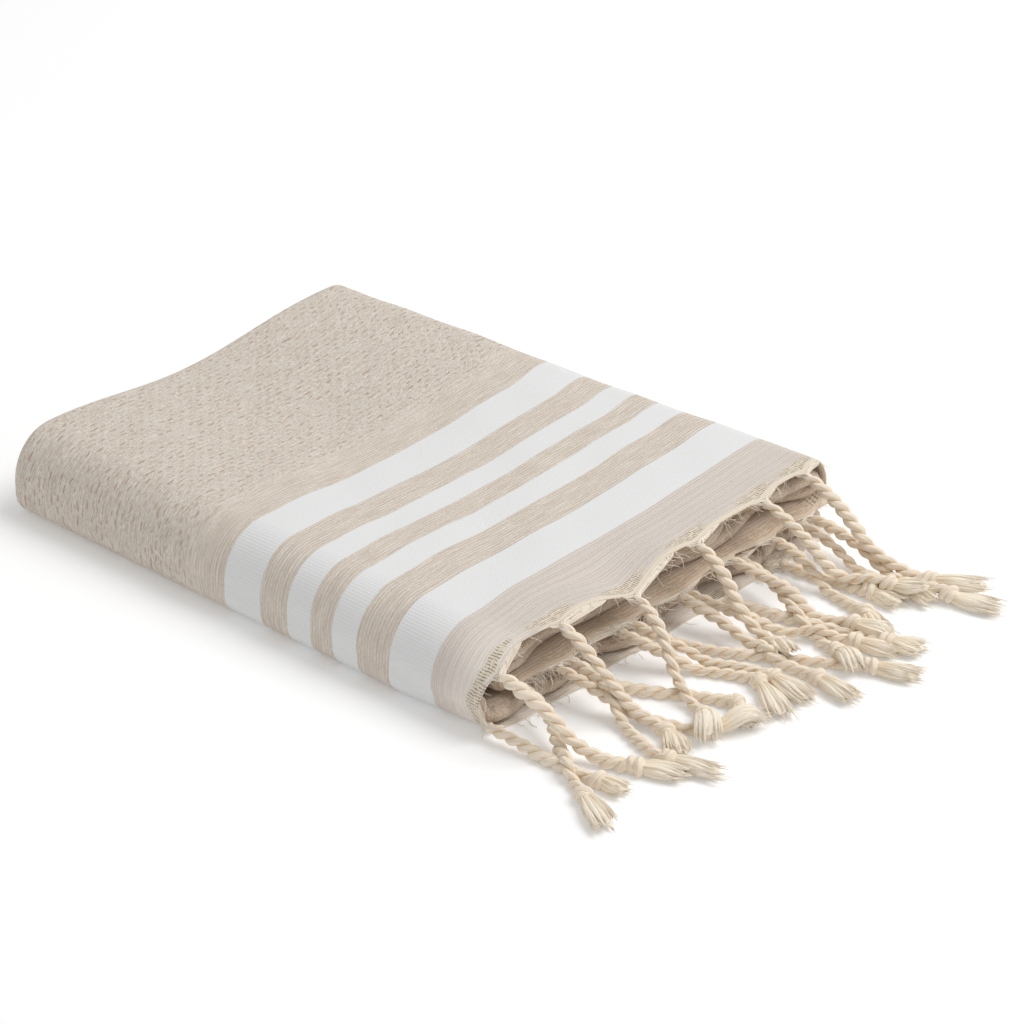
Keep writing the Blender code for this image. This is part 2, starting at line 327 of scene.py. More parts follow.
def lie(u, v):
    """Where the sheet's points lie: u from the fringed edge along the warp, v from the inner
    selvedge along the weft. A negative u is past the edge."""
    u, v = np.broadcast_arrays(np.asarray(u, float), np.asarray(v, float))
    inward = np.maximum(u, 0.0)
    square_x, offset, _ = STRIP.at(inward)
    square_x = square_x - np.minimum(u, 0.0)
    y, z, heading = STACK.at(v)
    out_y = np.sin(heading)
    out_z = -np.cos(heading)
    edge = smooth_step(1 - np.minimum(v, STACK.length - v) / EDGE_FADE)
    turned = math.tau * square_x / SELVEDGE_WAVE_LENGTH + offset / LAYER_PITCH
    x, y, z = settle(square_x, y + offset * out_y, z + offset * out_z, v)
    y = y + edge * (SELVEDGE_WAVE * np.sin(turned))

    # The outer layer of the top and of the rounded side stands off the others at the mouth.
    outer = smooth_step((OUTER_END - u) / OUTER_FADE)
    on_top = smooth_step((v - TOP_START + TOP_LEAD) / TOP_FADE)
    on_top = on_top * smooth_step((FOOT - v) / FOOT_FADE)
    free = outer * on_top
    mouth = smooth_step((square_x - MOUTH_START_X) / (FRINGE_EDGE_X - MOUTH_START_X))
    held = mouth * (1 - free)
    inner = 1 - smooth_step((OUTER_END - u) / INNER_FADE)
    z = z * (1 - MOUTH_SQUEEZE * held)
    y = y + MOUTH_DRAW * held * smooth_step((MOUTH_DRAW_Y - y) / DRAW_FADE)
    x = x + inner * mouth * LOOP_WAVE * (ripple(v, 0, 0.055, 11) - 1.0)
    z = z + held * HELD_WAVE * ripple(y, x, 0.060, 12) * z / HEIGHT

    # Scallops between the tassels, and the drooping lips of the inner strips.
    bend = arch(v)
    near_edge = smooth_step(1 - inward / SCALLOP_REACH) ** 1.5
    uneven = 1 + 0.35 * ripple(v, 0, 0.09, 13)
    x = x + near_edge * (ROOT_PULL * (1 - bend) ** 2 - SCALLOP_DEPTH * bend * uneven)
    lift = near_edge * free * (SCALLOP_LIFT * bend * uneven - ROOT_DROP * (1 - bend))
    heavy = hump(v, HEAVY_ROOT, HEAVY_SPREAD) * smooth_step(1 - inward / HEAVY_REACH) * free
    corner = hump(v, FOOT, CORNER_SPREAD) * near_edge
    x = x + HEAVY_PULL * heavy - CORNER_PULL * corner
    lift = lift - HEAVY_DROP * heavy
    y = y + out_y * lift
    z = z + out_z * lift
    lip = smooth_step(1 - inward / LIP_REACH) ** 1.3 * (1 - on_top)
    droop = LIP_DROOP * (0.7 + 0.3 * ripple(v, 0, 0.05, 14))
    z = z - lip * droop * smooth_step((z - LIP_FLOOR) / LIP_RISE)

    # Soft waves.
    z = z + SWELL * ripple(x, y, 0.15, 15) * z / HEIGHT
    wrinkle = RIPPLE * free * ripple(x, v, 0.045, 16)
    y = y + out_y * wrinkle
    z = z + out_z * wrinkle
    return np.stack([x, y, np.maximum(z, SHEET_THICKNESS / 2)], axis=-1)


def spread(stops):
    """Values from the first stop on, each next (end, step) stop cut into equal steps."""
    values = [stops[0]]
    for end, step in stops[1:]:
        count = max(1, round(abs(end - values[-1]) / step))
        values += list(np.linspace(values[-1], end, count + 1)[1:])
    return np.array(values)


def warp_stops():
    """Distances along the warp, close together where the cloth shows or turns."""
    corners = STRIP.corners
    stops = [0.0, (0.012, 0.0018), (corners[1], 0.0037)]
    for layer in range(1, LAYERS):
        loop_end = corners[2 * layer]
        run_end = corners[2 * layer + 1]
        radius = (LAYERS - layer) * LAYER_PITCH / 2
        stops.append((loop_end, math.pi * radius / 7))
        if layer % 2 == 1:
            stops += [(loop_end + 0.020, 0.010), (run_end - 0.040, 0.045), (run_end, 0.007)]
        else:
            stops += [(loop_end + 0.040, 0.007), (run_end - 0.020, 0.045), (run_end, 0.010)]
    return spread(stops)


def weft_stops():
    """Distances along the weft, from the inner selvedge."""
    corners = STACK.corners
    steps = (0.0052, 0.0022, 0.0052, 0.0022, 0.0034, 0.0018, 0.0027, 0.0022, 0.0065)
    return spread([0.0] + list(zip(corners[1:], steps)))


def design_place(u, v):
    """Where the woven design has this point: the stripes slant a little and waver."""
    back = 1 - (v - TOP_START) / (TOP_END - TOP_START)
    growth = smooth_step(u / BEND_GROWTH)
    away = BACK_BEND * growth * smooth_step((back - BACK_BEND_START) / (1 - BACK_BEND_START))
    nearer = FRONT_BEND * smooth_step((FRONT_BEND_END - back) / FRONT_BEND_END)
    woven_u = u - away + nearer + STRIPE_WAVE * ripple(v, u * 0.2, 0.11, 17) * growth
    return np.minimum(woven_u, FLAT_SIZE[1] - woven_u)


def make_mesh(name, verts, faces, uv_name, uvs):
    """A mesh object from arrays: faces are arrays of equally long rows, each with its UV rows."""
    mesh = bpy.data.meshes.new(name)
    mesh.from_pydata(verts.tolist(), [], [row for rows in faces for row in rows.tolist()])
    layer = mesh.uv_layers.new(name=uv_name)
    coords = np.concatenate([places.reshape(-1) for places in uvs])
    layer.data.foreach_set("uv", coords.astype(np.float32))
    mesh.validate()
    mesh.shade_smooth()
    return put_in_scene(name, mesh)


def put_in_scene(name, data):
    thing = bpy.data.objects.new(name, data)
    bpy.context.scene.collection.objects.link(thing)
    return thing


def store(mesh, name, values):
    """Keep a value for each vertex, for the materials to read."""
    attribute = mesh.attributes.new(name, "FLOAT", "POINT")
    attribute.data.foreach_set("value", values.astype(np.float32))


def grid_faces(columns, rows):
    """Quads of a grid whose vertices are numbered row by row."""
    first = (np.arange(columns - 1)[:, None] * rows + np.arange(rows - 1)[None, :]).reshape(-1)
    return np.stack([first, first + rows, first + rows + 1, first + 1], axis=-1)


OPEN_REACH = 0.016  # the weave opens beside each tassel's root,
OPEN_DEPTH = 0.0055  # this far from the edge,
OPEN_SPREAD = 0.0035
OPEN_CORNER = 0.7300  # and most over the rounded side's foot
OPEN_CORNER_SPREAD = 0.009
OPEN_CORNER_REACH = 0.020


def make_cloth():
    us = warp_stops()
    vs = weft_stops()
    u, v = np.meshgrid(us, vs, indexing="ij")
    verts = lie(u, v).reshape(-1, 3)
    faces = grid_faces(len(us), len(vs))
    design = np.stack([design_place(u, v), v], axis=-1).reshape(-1, 2)
    cloth = make_mesh("towel_cloth", verts, [faces], "design", [design[faces]])
    nearest = np.abs(v[..., None] - ROOTS).min(-1)
    open_weave = hump(nearest, 0, OPEN_REACH) * hump(u, OPEN_DEPTH, OPEN_SPREAD)
    corner = hump(v, OPEN_CORNER, OPEN_CORNER_SPREAD) * smooth_step(1 - u / OPEN_CORNER_REACH)
    store(cloth.data, "open", np.maximum(open_weave, corner).reshape(-1))
    solid = cloth.modifiers.new("thickness", "SOLIDIFY")
    solid.thickness = SHEET_THICKNESS
    solid.offset = 0.0
    solid.use_even_offset = True
    return cloth


# ---------------- tubes and strands

POLE_REACH = 0.4  # a tube's ends are domed by this share of its radius


def unit(vectors):
    return vectors / np.maximum(np.linalg.norm(vectors, axis=-1, keepdims=True), 1e-9)


def frames(points):
    """Tangent, side and upper direction at each point of a line, turned as little as possible."""
    tangents = unit(np.gradient(points, axis=0))
    up = np.array([0.0, 0.0, 1.0])
    if abs(tangents[0] @ up) > 0.95:
        up = np.array([1.0, 0.0, 0.0])
    sides = np.empty_like(tangents)
    side = np.cross(tangents[0], up)
    for index, tangent in enumerate(tangents):
        side = side - tangent * (side @ tangent)
        side = side / np.linalg.norm(side)
        sides[index] = side
    return tangents, sides, np.cross(sides, tangents)


def along_line(wanted, along, points):
    """The line's points at the wanted distances, where its own are at these."""
    return np.stack([np.interp(wanted, along, points[:, axis]) for axis in range(3)], axis=-1)


def steps_of(points):
    return np.linalg.norm(np.diff(points, axis=0), axis=1)


def distances(points):
    """How far along the line each of its points is."""
    return np.concatenate([[0.0], np.cumsum(steps_of(points))])


def resample(points, count):
    """The same line with this many evenly spaced points."""
    along = distances(points)
    return along_line(np.linspace(0, along[-1], count), along, points)


def soften(points, times):
    points = points.copy()
    for _ in range(times):
        points[1:-1] = 0.25 * points[:-2] + 0.5 * points[1:-1] + 0.25 * points[2:]
    return points


def line_length(points):
    return float(steps_of(points).sum())


def keep_above(points, height):
    """Lift the points that lie lower than this."""
    points[:, 2] = np.maximum(points[:, 2], height)


class Strands:
    """Many tubes gathered into one mesh. Their UV is (turn round the tube, distance along it),
    and the attribute tint tells one tube from another."""

    def __init__(self):
        self.verts, self.quads, self.quad_uvs, self.tris, self.tri_uvs = [], [], [], [], []
        self.tints, self.groove_shades = [], []
        self.count = 0

    def add(self, points, radii, sides, tint, heights=None, centres=None):
        """A tube along the points. Its radii are its half widths, and also its half heights
        where those aren't given. Near the centres, where they are given, is a groove, marked for
        painted shade."""
        points = np.asarray(points, float)
        radii = np.broadcast_to(np.asarray(radii, float), len(points))
        heights = radii if heights is None else heights
        tangents, side, upper = frames(points)
        angles = (math.tau * np.arange(sides) / sides)[None, :, None]
        ring = np.cos(angles) * (side * radii[:, None])[:, None]
        ring = ring + np.sin(angles) * (upper * heights[:, None])[:, None]
        verts = (points[:, None] + ring).reshape(-1, 3)
        poles = np.stack([points[0] - tangents[0] * radii[0] * POLE_REACH,
                          points[-1] + tangents[-1] * radii[-1] * POLE_REACH])
        along = distances(points)
        number, turn = np.divmod(grid_faces(len(points), sides + 1), sides + 1)
        quads = number * sides + turn % sides
        uvs = np.stack([turn / sides, along[number]], axis=-1)
        around = np.arange(sides)
        beyond = (around + 1) % sides
        last = len(verts) - sides
        near = np.stack([np.full(sides, len(verts)), around, beyond], axis=-1)
        far = np.stack([np.full(sides, len(verts) + 1), last + beyond, last + around], axis=-1)
        near_uv = np.zeros((sides, 3, 2))
        near_uv[:, :, 0] = (around / sides)[:, None]
        far_uv = near_uv + [0, along[-1]]
        self.verts.append(np.concatenate([verts, poles]))
        self.quads.append(quads + self.count)
        self.quad_uvs.append(uvs)
        self.tris.append(np.concatenate([near, far]) + self.count)
        self.tri_uvs.append(np.concatenate([near_uv, far_uv]))
        self.tints.append(np.full(len(verts) + 2, tint))
        # Painted shade: how near each vertex lies to the cord's middle, where the plies meet.
        groove_shade = np.zeros(len(verts) + 2)
        if centres is not None:
            away = np.linalg.norm(verts.reshape(-1, sides, 3) - centres[:, None], axis=-1)
            groove_shade[:-2] = np.clip(1 - (away - GROOVE_BOTTOM) / GROOVE_DEPTH, 0, 1).reshape(-1)
        self.groove_shades.append(groove_shade)
        self.count += len(verts) + 2

    def make(self, name):
        thing = make_mesh(
            name, np.concatenate(self.verts),
            [np.concatenate(self.quads), np.concatenate(self.tris)], "strand",
            [np.concatenate(self.quad_uvs), np.concatenate(self.tri_uvs)])
        store(thing.data, "tint", np.concatenate(self.tints))
        store(thing.data, "groove_shade", np.concatenate(self.groove_shades))
        return thing


# ---------------- the tassels

BRUSH_RADIUS = 0.0036  # that a brush keeps clear of others
CORD_NODES = 34  # from the root to the knot
BRUSH_NODES = 9  # from there to the tip
RELAX_STEPS = 140
CLEARLY_ABOVE = 0.0012  # one cord lies over another from this height on
UPWARD = 0.9  # how much two cords are parted by height
PARTING = 0.42  # the share of an overlap that one step takes away,
UPPER_MOVE = 0.75  # most of it by moving the upper cord
LONGEST_MOVE = 0.0008  # in one step
EVENING = 0.30
HOME_PULL = 0.03  # back to the CAD's route,
HOME_PULL_UP = 0.4  # and this share of it in height
FLOOR_GRIP = 0.00012
EDGE_CLEARANCE = 0.0035  # of all but the roots from the cloth

PLY_RADIUS = 0.00176
PLY_OFFSET = 0.00142
CORD_LAY = 0.0142  # length of one full turn of the two plies
THICK_ROOT = 0.7145  # one cord is thicker than the others,
THICK_SHARE = 0.20  # by this share
THICK_SPREAD = 0.010
GROOVE_BOTTOM = 0.0014  # distances from the cord's middle
GROOVE_DEPTH = 0.0014
RING_STEP = 0.00095
PLY_SIDES = 11

WRAP_RADIUS = 0.00205
WRAP_TURNS = 1.7
WRAP_PITCH = 0.0034
CORE_REACH = 0.0052  # the knot's core, from its middle
CORE_RADIUS = 0.0026


def bezier(start, first, second, end, share):
    share = np.asarray(share)[:, None]
    rest = 1 - share
    near_start = rest ** 3 * start + 3 * rest ** 2 * share * first
    return near_start + 3 * rest * share ** 2 * second + share ** 3 * end


def root_of(tassel):
    """Where a tassel's cord begins, just under the cloth's edge."""
    root = lie(-ROOT_LENGTH, tassel.along)
    root[2] = max(root[2] - ROOT_SINK, CORD_RADIUS)
    return root


def tassel_line(tassel):
    """Nodes from the root to the tip, along the CAD's route."""
    root = root_of(tassel)
    knot = np.array([tassel.knot_x, tassel.knot_y, tassel.rest + KNOT_RADIUS])
    tip = np.array([tassel.tip_x, tassel.tip_y, tassel.rest / 2 + 0.0035])
    crest = np.array([root[0] + CREST_SHARE * (knot[0] - root[0]), root[1], root[2]])
    foot = root + FOOT_SHARE * (knot - root)
    foot[2] = tassel.rest + CORD_RADIUS
    cord = bezier(root, crest, foot, knot, np.linspace(0, 1, 60))
    cord = resample(cord, CORD_NODES)
    reach = knot + np.linspace(0, 1, BRUSH_NODES + 1)[1:, None] * (tip - knot)
    return np.concatenate([cord, reach])


def node_radii():
    radii = np.full(CORD_NODES + BRUSH_NODES, CORD_RADIUS)
    radii[CORD_NODES - 2:CORD_NODES + 1] = KNOT_RADIUS * 0.95
    radii[CORD_NODES + 1:] = BRUSH_RADIUS
    return radii


def relax(lines):
    """Push the tassels apart where they cross, and off the floor, with the ones from higher up
    lying on the others."""
    tassels, nodes, _ = lines.shape
    radii = np.tile(node_radii(), tassels)
    owner = np.repeat(np.arange(tassels), nodes)
    rank = np.repeat(lines[:, 0, 2] + 2 * np.array([tassel.rest for tassel in TASSELS]), nodes)
    home = lines.copy()
    points = lines.copy()
    loose = smooth_step(np.arange(nodes) / 6.0)[None, :, None]
    reach = radii[:, None] + radii[None, :]
    foreign = owner[:, None] != owner[None, :]
    for _ in range(RELAX_STEPS):
        flat = points.reshape(-1, 3)
        square = (flat ** 2).sum(1)
        distance = np.sqrt(np.maximum(square[:, None] + square[None, :] - 2 * flat @ flat.T, 1e-12))
        first, second = np.nonzero((distance < reach) & foreign)
        keep = first < second
        first, second = first[keep], second[keep]
        gap = flat[first] - flat[second]
        depth = reach[first, second] - distance[first, second]
        ranked = np.sign(rank[first] - rank[second])
        upward = np.where(np.abs(gap[:, 2]) > CLEARLY_ABOVE, np.sign(gap[:, 2]), ranked)
        gap = unit(gap)
        gap[:, 2] = gap[:, 2] + UPWARD * upward
        push = unit(gap) * depth[:, None] * PARTING
        above = (upward > 0)[:, None]
        move = np.zeros_like(flat)
        np.add.at(move, first, push * np.where(above, UPPER_MOVE, 1 - UPPER_MOVE))
        np.add.at(move, second, -push * np.where(above, 1 - UPPER_MOVE, UPPER_MOVE))
        move = np.clip(move, -LONGEST_MOVE, LONGEST_MOVE).reshape(points.shape)
        points = points + move * loose
        middle = 0.5 * (points[:, :-2] + points[:, 2:])
        points[:, 1:-1] += EVENING * (middle - points[:, 1:-1]) * loose[:, 1:-1]
        pull = home - points
        pull[:, :, 2] *= HOME_PULL_UP
        points = points + HOME_PULL * pull
        points[:, CORD_NODES // 2:, 2] -= FLOOR_GRIP
        floor = radii.reshape(tassels, nodes)
        points[:, :, 2] = np.maximum(points[:, :, 2], floor)
        points[:, 2:, 0] = np.maximum(points[:, 2:, 0], FRINGE_EDGE_X + EDGE_CLEARANCE)
    return points


def add_cord(strands, points, thick, source):
    """Two plies laid round each other."""
    pick = source.uniform
    points = soften(resample(points, max(12, round(line_length(points) / RING_STEP))), 6)
    count = len(points)
    along = np.linspace(0, line_length(points), count)
    _, side, upper = frames(points)
    phase = pick(0, math.tau)
    lay = CORD_LAY * pick(0.92, 1.10)
    tint = pick(0.2, 0.8)
    drift = pick(0, math.tau)
    wobble = thick * pick(0.93, 1.12) * (1 + 0.08 * np.sin(along / 0.009 + drift))
    tight = 0.86 + 0.14 * smooth_step(along / 0.010)
    for ply in range(2):
        turn = phase + ply * math.pi + math.tau * along / lay + 0.50 * np.sin(along / 0.011 + drift)
        turn = turn[:, None]
        out = np.cos(turn) * side + np.sin(turn) * upper
        radius = PLY_RADIUS * tight * wobble * (1 + 0.04 * np.sin(along / 0.006 + 2 * ply))
        laid = points + out * (PLY_OFFSET * tight * wobble)[:, None]
        keep_above(laid, radius)
        strands.add(laid, radius, PLY_SIDES, tint + 0.1 * ply, centres=points)


def add_knot(strands, centre, axis, source):
    """The cord wound round itself and drawn tight, over a small core."""
    pick = source.uniform
    axis = unit(axis)
    side = unit(np.cross(axis, [0.0, 0.0, 1.0]))
    upper = np.cross(side, axis)
    phase = pick(0, math.tau)
    size = pick(0.93, 1.08)
    tilt = pick(0.25, 0.5)
    tint = pick(0.3, 0.8)
    turn = np.linspace(-0.5, 0.5, 44)
    angle = (phase + math.tau * WRAP_TURNS * turn)[:, None]
    closing = smooth_step((0.5 - np.abs(turn)) / 0.11)[:, None]
    radius = size * (0.0010 + 0.00175 * closing)
    drift = (WRAP_PITCH * WRAP_TURNS * turn)[:, None] + tilt * radius * np.cos(angle - phase)
    points = centre + axis * drift * size + radius * (np.cos(angle) * side + np.sin(angle) * upper)
    thickness = WRAP_RADIUS * size * (0.75 + 0.25 * closing[:, 0])
    keep_above(points, thickness)
    strands.add(points, thickness, 10, tint)
    core = centre + axis * np.linspace(-CORE_REACH, CORE_REACH, 9)[:, None]
    bulge = np.sqrt(1 - np.linspace(-0.86, 0.86, 9) ** 2)
    strands.add(core, CORE_RADIUS * size * bulge + 0.0006, 10, tint)


LOCKS = 15  # soft uneven locks of yarn over a brush
LOCK_SIDES = 7
STRANDS_IN_LOCK = 6
STRAND_RADIUS = 0.00028
BRUSH_START = 0.0024  # half its width and height at the knot,
BRUSH_WIDTHS = (0.0054, 0.0080)  # half its width at the tip, from and to,
BRUSH_HEIGHT = 0.0031  # and half its height there


def taper(share, start, length, bluntness, least):
    """One up to the start, and from there on thinner, down to the least."""
    return np.clip(1 - (np.maximum(share - start, 0) / length) ** bluntness, least, 1)


def add_brush(strands, points, source):
    """The cord's loose yarns past the knot: a flat soft fan, with uneven locks over it."""
    pick = source.uniform
    points = soften(resample(points, 9), 1)
    share = np.linspace(0, 1, len(points))
    _, side, upper = frames(points)
    wide = pick(*BRUSH_WIDTHS)
    high = np.minimum(points[:, 2] - 0.0002, BRUSH_HEIGHT)
    width = BRUSH_START + (wide - BRUSH_START) * smooth_step(share / 0.9)
    height = BRUSH_START + (high - BRUSH_START) * smooth_step(share / 0.5)
    skew = pick(-0.0018, 0.0018)
    base_tint = pick(0.35, 0.65)
    past = points[-1] - points[0]

    middle = points + side * (skew * share ** 2)[:, None]
    fill = 0.94 * taper(share, 0.28, 0.72, 2.5, 0.04)
    heart = np.clip(share, 0, 0.92)
    heart_points = along_line(heart, share, middle)
    heart_points[-1] = heart_points[-2] + 0.002 * unit(past)
    strands.add(heart_points, width * fill, 18, base_tint, heights=height * fill)

    for number in range(LOCKS):
        angle = math.tau * (number + pick(-0.35, 0.35)) / LOCKS
        across, over = 0.80 * math.cos(angle), 0.72 * math.sin(angle)
        length = pick(0.80, 1.08) * (1 - 0.12 * across ** 2)
        along = share * length
        core = along_line(along, share, middle)
        core = core + np.maximum(along - 1, 0)[:, None] * past
        curl = pick(-0.0008, 0.0008) * share ** 2
        closing = 1 - 0.55 * over * smooth_step((share - 0.6) / 0.4) * np.sign(over)
        core = core + side * (across * width + curl)[:, None]
        core = core + upper * (over * height * closing)[:, None]
        body = 0.0009 + 0.0007 * smooth_step(share / 0.5)
        body = body * pick(0.85, 1.2) * taper(share, 0.38, 0.68, 2.0, 0.08)
        keep_above(core, body * 0.9)
        lock_tint = base_tint + pick(-0.12, 0.12)
        strands.add(core, body, LOCK_SIDES, lock_tint)
        for _ in range(STRANDS_IN_LOCK):
            turn = angle + pick(-1.4, 1.4)
            spot = pick(0.85, 1.02)
            reach = pick(0.84, 1.16)
            loose = np.maximum(body, 0.0010 * smooth_step((share - 0.3) / 0.5))
            wave = 0.0002 * np.sin(pick(3, 9) * share + pick(0, 6)) * share
            line = along_line(share * reach, share, core)
            line = line + np.maximum(share * reach - 1, 0)[:, None] * past
            line = line + side * (math.cos(turn) * spot * loose + wave)[:, None]
            line = line + upper * (math.sin(turn) * spot * loose)[:, None]
            keep_above(line, STRAND_RADIUS)
            radius = STRAND_RADIUS * pick(0.7, 1.2) * (1 - 0.6 * share ** 2)
            strands.add(line, radius, 4, lock_tint + pick(-0.15, 0.15))


# ---------------- the yarns at the fringed edge

GATHER_MIDDLES = (0.650, 0.3215)  # the edge is gathered most about these places
GATHER_SPREAD = 0.035
GATHERED = 0.42  # share of the edge before a tassel whose yarns run to it,
GATHERED_MORE = 0.50  # this much more about those places,
GATHERED_AFTER = 0.16  # and the share of the edge after it
ROOT_SPREAD = 0.0021
YARNS_IN_ROOT = 46
YARN_RADIUS = 0.00042
LOOSE_YARNS = 240
FUZZY_YARNS = 190  # further ones along this part of the edge
FUZZY_START = 0.175
FUZZY_END = 0.345


def add_root(strands, tassel, previous, following, source):
    """The warp yarns gathered from the cloth's edge into the start of a cord. Most come from
    the side of the tassel before, and the ones from farthest away make a taut straight border."""
    pick = source.uniform
    root = root_of(tassel)
    nearest = min(abs(tassel.along - middle) for middle in GATHER_MIDDLES)
    gathering = GATHERED + GATHERED_MORE * hump(nearest, 0, GATHER_SPREAD)
    before = gathering * (tassel.along - previous)
    after = GATHERED_AFTER * (following - tassel.along)
    for number in range(YARNS_IN_ROOT):
        share = (number + pick(0.1, 0.9)) / YARNS_IN_ROOT
        first = tassel.along - before + share * (before + after)
        first = min(max(first, 0.001), STACK.length - 0.001)
        far = min(1.0, abs(tassel.along - first) / max(before, after))
        angle = pick(0, math.tau)
        spot = ROOT_SPREAD * math.sqrt(pick(0, 1))
        off_y, off_z = spot * math.cos(angle), spot * math.sin(angle)
        gathered = root + np.array([-0.0004, off_y - 0.0010, off_z + 0.0008])
        leaves = lie(-0.0002, first)
        gone = np.linspace(0, 1, 6)[:, None]
        taut = leaves + gone * (gathered - leaves)
        sag = 0.0010 * (1 - far) + pick(0, 0.0005)
        taut = taut - sag * np.sin(math.pi * gone) * np.array([0.5, 0.0, 1.0])
        inside = root + np.array([0.0044, 0.6 * off_y, 0.6 * off_z - 0.0008])
        line = np.concatenate([lie([0.0024, 0.0008], [first, first]), taut, inside[None]])
        keep_above(line, YARN_RADIUS)
        radius = YARN_RADIUS * pick(0.75, 1.2)
        strands.add(soften(resample(line, 10), 1), radius, 5, pick(0.25, 0.95))


def add_loose_yarns(strands, source):
    """Short stray ends of warp along the edge, most of them where the inner strips turn."""
    pick = source.uniform
    for number in range(LOOSE_YARNS + FUZZY_YARNS):
        if number < LOOSE_YARNS:
            along = pick(0.004, STACK.length - 0.004)
        else:
            along = pick(FUZZY_START, FUZZY_END)
        start = lie(0.0008, along)
        length = pick(0.003, 0.011)
        sideways = source.normal(0, 0.6)
        down = pick(0.1, 1.3)
        share = np.linspace(0, 1, 6)[:, None]
        direction = unit(np.array([1.0, sideways, 0.15]))
        line = start + length * share * direction
        line = line - length * down * share ** 2 * np.array([0.3, 0, 0.8])
        curl = length * 0.18 * np.sin(share * pick(2, 6) + pick(0, 6))
        line = line + curl * share * np.array([0.2, 1.0, 0.3])
        keep_above(line, 0.0002)
        strands.add(line, 0.00012 * pick(0.7, 1.6), 3, pick(0.3, 1.0))


def make_fringe():
    """The cords with their knots, the brushes, and the yarns at the edge, as three pieces."""
    cords, brushes, yarns = Strands(), Strands(), Strands()
    source = np.random.default_rng(5)
    lines = relax(np.array([tassel_line(tassel) for tassel in TASSELS]))
    edges = [-0.01, *ROOTS, STACK.length + 0.01]
    for number, (tassel, line) in enumerate(zip(TASSELS, lines)):
        cord = line[:CORD_NODES]
        thick = 1 + THICK_SHARE * hump(tassel.along, THICK_ROOT, THICK_SPREAD)
        add_cord(cords, cord, thick, source)
        axis = line[CORD_NODES + 1] - line[CORD_NODES - 3]
        add_knot(cords, line[CORD_NODES - 1] + 0.0015 * unit(axis), axis, source)
        add_brush(brushes, line[CORD_NODES - 1:], source)
        add_root(yarns, tassel, edges[number], edges[number + 2], source)
    add_loose_yarns(yarns, source)
    return cords.make("tassel_cords"), brushes.make("tassel_brushes"), yarns.make("edge_yarns")


# ---------------- materials


class Shader:
    """A Principled material and short ways to add nodes to it."""

    def __init__(self, name, roughness, sheen):
        self.material = bpy.data.materials.new(name)
        self.material.use_nodes = True
        self.nodes = self.material.node_tree.nodes
        self.links = self.material.node_tree.links
        self.principled = self.nodes["Principled BSDF"]
        self.principled.inputs["Roughness"].default_value = roughness
        self.principled.inputs["Sheen Weight"].default_value = sheen
        self.principled.inputs["Sheen Roughness"].default_value = 0.5
        self.principled.inputs["Specular IOR Level"].default_value = 0.25

    def put(self, socket, value):
        if isinstance(value, bpy.types.NodeSocket):
            self.links.new(value, socket)
        else:
            socket.default_value = value

    def math(self, operation, *values):
        node = self.nodes.new("ShaderNodeMath")
        node.operation = operation
        for socket, value in zip(node.inputs, values):
            self.put(socket, value)
        return node.outputs[0]

    def plus(self, first, second):
        return self.math("ADD", first, second)

    def minus(self, first, second):
        return self.math("SUBTRACT", first, second)

    def times(self, first, second):
        return self.math("MULTIPLY", first, second)

    def scaled(self, value, factor, added):
        """value * factor + added"""
        return self.math("MULTIPLY_ADD", value, factor, added)

    def mix(self, share, first, second):
        node = self.nodes.new("ShaderNodeMix")
        node.data_type = "RGBA"
        self.put(node.inputs["Factor"], share)
        colours = [socket for socket in node.inputs if socket.type == "RGBA"]
        self.put(colours[0], first)
        self.put(colours[1], second)
        return [socket for socket in node.outputs if socket.type == "RGBA"][0]

    def vector(self, x, y, z=0.0):
        node = self.nodes.new("ShaderNodeCombineXYZ")
        for socket, value in zip(node.inputs, (x, y, z)):
            self.put(socket, value)
        return node.outputs[0]

    def noise(self, x, y, z=0.0, detail=2.0, rough=0.5):
        """Noise between about 0.2 and 0.8, with features about one unit apart."""
        node = self.nodes.new("ShaderNodeTexNoise")
        node.inputs["Scale"].default_value = 1.0
        node.inputs["Detail"].default_value = detail
        node.inputs["Roughness"].default_value = rough
        self.put(node.inputs["Vector"], self.vector(x, y, z))
        return node.outputs["Fac"]

    def spots(self, x, x_scale, y, y_scale, z=0.0, detail=2.0, rough=0.5):
        """Noise with this many features for each unit of x and of y."""
        return self.noise(self.times(x, x_scale), self.times(y, y_scale), z, detail, rough)

    def random(self, x, y):
        node = self.nodes.new("ShaderNodeTexWhiteNoise")
        node.noise_dimensions = "2D"
        self.put(node.inputs["Vector"], self.vector(x, y))
        return node.outputs["Value"]

    def ramp(self, value, low, high):
        """Zero at low and one at high, smooth between them and level past them."""
        node = self.nodes.new("ShaderNodeMapRange")
        node.interpolation_type = "SMOOTHSTEP"
        self.put(node.inputs["Value"], value)
        node.inputs["From Min"].default_value = low
        node.inputs["From Max"].default_value = high
        return node.outputs["Result"]

    def wave(self, value, pitch):
        """A sine between 0 and 1 with this pitch."""
        turned = self.math("SINE", self.times(value, math.tau / pitch))
        return self.scaled(turned, 0.5, 0.5)

    def off_middle(self, value):
        """How far a value is from halfway between two whole numbers."""
        return self.math("ABSOLUTE", self.minus(self.math("FRACT", value), 0.5))

    def uv(self, name):
        node = self.nodes.new("ShaderNodeUVMap")
        node.uv_map = name
        split = self.nodes.new("ShaderNodeSeparateXYZ")
        self.links.new(node.outputs["UV"], split.inputs[0])
        return split.outputs["X"], split.outputs["Y"]

    def attribute(self, name):
        node = self.nodes.new("ShaderNodeAttribute")
        node.attribute_name = name
        return node.outputs["Fac"]

    def bump(self, height, distance):
        node = self.nodes.new("ShaderNodeBump")
        node.inputs["Distance"].default_value = distance
        self.links.new(height, node.inputs["Height"])
        self.links.new(node.outputs["Normal"], self.principled.inputs["Normal"])

    def colour(self, value):
        self.put(self.principled.inputs["Base Color"], value)


